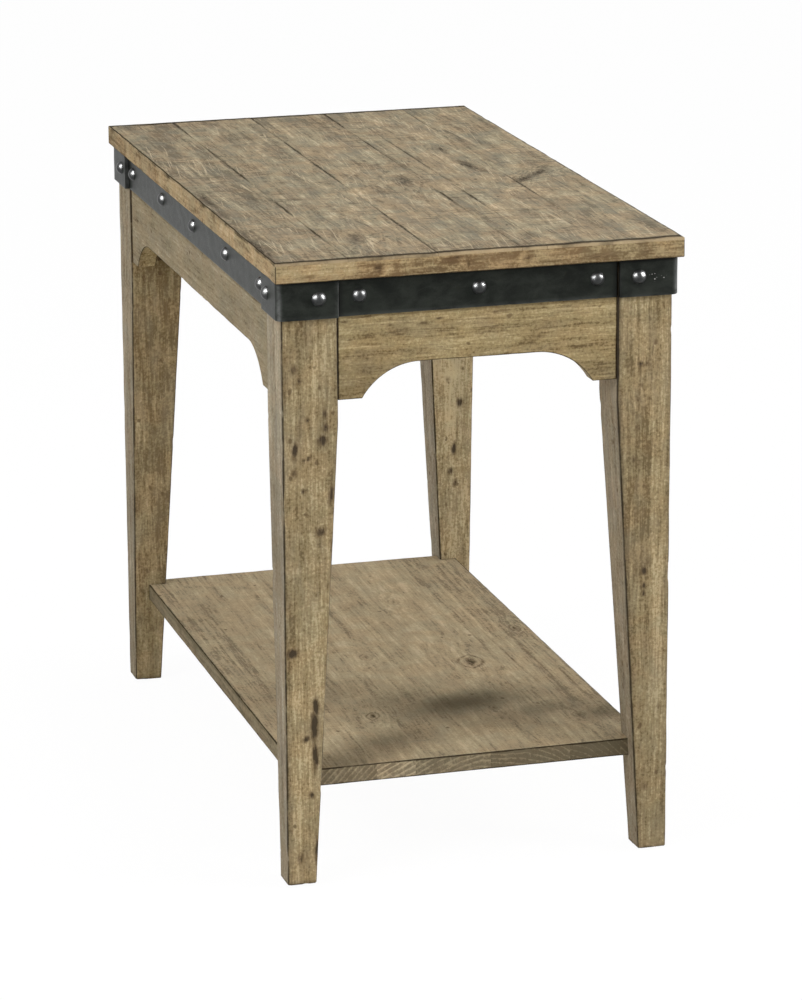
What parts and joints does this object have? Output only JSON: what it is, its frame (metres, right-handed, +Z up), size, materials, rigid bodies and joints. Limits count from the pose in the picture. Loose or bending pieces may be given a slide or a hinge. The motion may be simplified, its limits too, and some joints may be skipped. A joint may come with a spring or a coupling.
{
  "type": "chairside table",
  "caption": "Narrow rustic side table with a planked top, arched aprons, tapered legs, a low shelf and an iron band with domed nails under the top.",
  "frame": {"origin": "on the floor under the middle of the top", "axes": "+Z up, -Y towards the front short side, +X to the right, +Y along the long sides to the back"},
  "size_m": [0.411, 0.728, 0.627],
  "materials": {
    "plank_wood": "weathered grey-brown pine with scrape marks and dark glaze",
    "edging_wood": "warm tan pine, worn at the arris",
    "leg_wood": "weathered brown pine with worm holes and burnished arrises",
    "apron_wood": "weathered brown pine, grain along the board",
    "shelf_wood": "smooth grey-brown pine with small knots and smudges",
    "inner_wood": "plain unfinished pine",
    "band_iron": "dark waxed iron strap with faint speckles",
    "nail_iron": "dark polished dome",
    "screw_steel": "zinc plated",
    "glide_steel": "stamped steel"
  },
  "bodies": {
    "root": {"apron_dowels": "inner_wood", "back_apron": "apron_wood", "back_edging": "edging_wood", "back_left_corner_block": "inner_wood", "back_left_corner_strap": "band_iron", "back_left_leg": "leg_wood", "back_right_corner_block": "inner_wood", "back_right_corner_strap": "band_iron", "back_right_leg": "leg_wood", "back_strap": "band_iron", "floor_glides": "glide_steel", "fourth_plank_back": "plank_wood", "fourth_plank_front": "plank_wood", "fourth_plank_middle": "plank_wood", "front_apron": "apron_wood", "front_edging": "edging_wood", "front_left_corner_block": "inner_wood", "front_left_corner_strap": "band_iron", "front_left_leg": "leg_wood", "front_right_corner_block": "inner_wood", "front_right_corner_strap": "band_iron", "front_right_leg": "leg_wood", "front_strap": "band_iron", "lag_screws": "screw_steel", "lag_washers": "screw_steel", "left_apron": "apron_wood", "left_cleat": "inner_wood", "left_edging": "edging_wood", "left_plank_back": "plank_wood", "left_plank_front": "plank_wood", "left_plank_middle": "plank_wood", "left_strap": "band_iron", "middle_plank": "plank_wood", "narrow_plank_back": "plank_wood", "narrow_plank_front": "plank_wood", "right_apron": "apron_wood", "right_cleat": "inner_wood", "right_edging": "edging_wood", "right_plank": "plank_wood", "right_strap": "band_iron", "second_plank_back": "plank_wood", "second_plank_front": "plank_wood", "shelf_board_1": "shelf_wood", "shelf_board_2": "shelf_wood", "shelf_board_3": "shelf_wood", "shelf_board_4": "shelf_wood", "shelf_board_5": "shelf_wood", "strap_nails": "nail_iron", "top_core": "inner_wood", "wood_screws": "screw_steel"}
  },
  "joints": []
}
